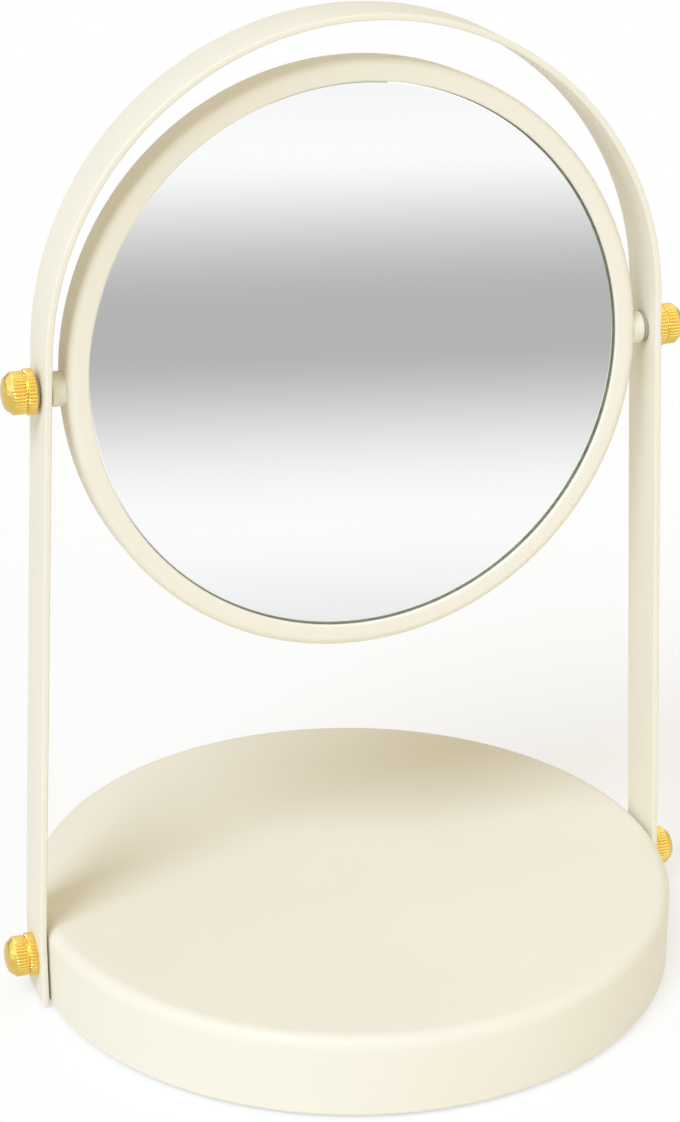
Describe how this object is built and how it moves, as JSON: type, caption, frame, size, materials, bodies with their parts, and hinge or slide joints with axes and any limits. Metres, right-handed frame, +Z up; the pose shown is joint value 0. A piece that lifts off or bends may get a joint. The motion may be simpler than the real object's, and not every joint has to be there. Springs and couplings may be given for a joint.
{
  "type": "table mirror",
  "caption": "Round tilting table mirror hung in a flat-strip hoop on a round tray base, held by knurled knobs.",
  "frame": {"origin": "centre of the drum base, on the table under its feet", "axes": "+Z up, -Y towards the person in front of the mirror, X along the pivots"},
  "size_m": [0.223, 0.2, 0.296],
  "materials": {
    "powder_coat": "satin cream powder coat on steel",
    "plate_steel": "satin cream paint on sheet steel",
    "zinc_steel": "zinc-plated steel fasteners",
    "gold_brass": "polished gold-coloured knurled brass",
    "mirror_glass": "silvered float glass",
    "board": "pressed backing board",
    "rubber": "matt rubber",
    "nylon": "natural nylon"
  },
  "bodies": {
    "base": {"base_shell": "powder_coat", "base_plate": "plate_steel", "plate_posts": "plate_steel", "plate_screws": "zinc_steel", "rubber_feet": "rubber", "hoop": "powder_coat", "drum_saddles": "nylon", "drum_nuts": "zinc_steel", "pivot_outer_washers": "nylon"},
    "mirror": {"mirror_ring": "powder_coat", "rear_ring": "powder_coat", "front_glass": "mirror_glass", "rear_glass": "mirror_glass", "backing_board": "board", "pivot_stud_left": "zinc_steel", "pivot_stud_right": "zinc_steel", "pivot_spacer_left": "powder_coat", "pivot_spacer_right": "powder_coat", "pivot_inner_washers": "nylon"},
    "pivot_knob_left": {"pivot_knob_left": "gold_brass"},
    "pivot_knob_right": {"pivot_knob_right": "gold_brass"},
    "drum_knob_left": {"drum_knob_left": "gold_brass", "drum_stud_left": "zinc_steel"},
    "drum_knob_right": {"drum_knob_right": "gold_brass", "drum_stud_right": "zinc_steel"}
  },
  "joints": [
    {"name": "mirror_tilt", "type": "hinge", "parent": "base", "child": "mirror", "pos_m": [0, 0, 0.1947], "axis": [1, 0, 0], "continuous": true},
    {"name": "pivot_knob_left_turn", "type": "hinge", "parent": "mirror", "child": "pivot_knob_left", "pos_m": [-0.1, 0, 0.1947], "axis": [1, 0, 0], "continuous": true},
    {"name": "pivot_knob_right_turn", "type": "hinge", "parent": "mirror", "child": "pivot_knob_right", "pos_m": [0.1, 0, 0.1947], "axis": [1, 0, 0], "continuous": true},
    {"name": "drum_knob_left_turn", "type": "hinge", "parent": "base", "child": "drum_knob_left", "pos_m": [-0.107, 0, 0.0145], "axis": [1, 0, 0], "continuous": true},
    {"name": "drum_knob_right_turn", "type": "hinge", "parent": "base", "child": "drum_knob_right", "pos_m": [0.107, 0, 0.0145], "axis": [1, 0, 0], "continuous": true}
  ]
}
